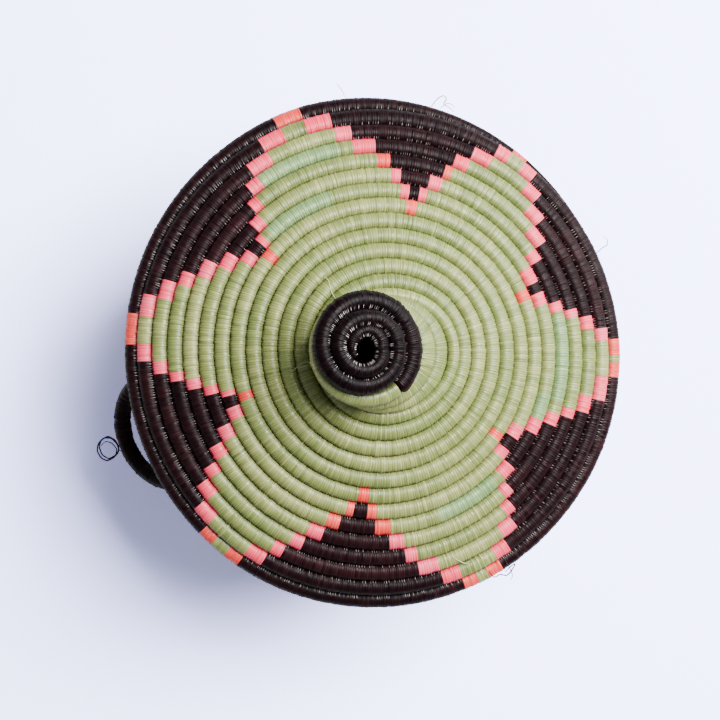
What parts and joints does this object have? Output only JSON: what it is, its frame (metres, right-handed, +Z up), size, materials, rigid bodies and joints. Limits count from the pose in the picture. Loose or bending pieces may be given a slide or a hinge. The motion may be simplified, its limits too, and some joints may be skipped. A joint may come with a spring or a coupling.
{
  "type": "lidded coil basket",
  "caption": "Round coiled raffia basket with two lashed ear handles and a loose conical lid that lifts off by a spiral knob.",
  "frame": {"origin": "middle of the base's underside, on the surface that the basket stands on", "axes": "+Z up, X through the two handles, Y across them"},
  "size_m": [0.3474, 0.3198, 0.2695],
  "materials": {
    "lid_raffia": "matte sage green raffia binding with dark, coral and orange lengths",
    "dark_raffia": "dark brown-black raffia binding with a soft sheen",
    "base_raffia": "matte sage green raffia binding",
    "lashing_raffia": "matte natural straw raffia strand"
  },
  "bodies": {
    "basket_body": {"base": "base_raffia", "wall": "dark_raffia", "left_handle": "dark_raffia", "left_handle_front_lashing": "lashing_raffia", "left_handle_rear_lashing": "lashing_raffia", "right_handle": "dark_raffia", "right_handle_front_lashing": "lashing_raffia", "right_handle_rear_lashing": "lashing_raffia"},
    "lid": {"lid_coil": "lid_raffia", "knob_coil": "dark_raffia", "lid_collar": "dark_raffia"}
  },
  "joints": [
    {"name": "lid_lift", "type": "slide", "parent": "basket_body", "child": "lid", "axis": [0, 0, 1], "range_m": [0, 0.12]}
  ]
}
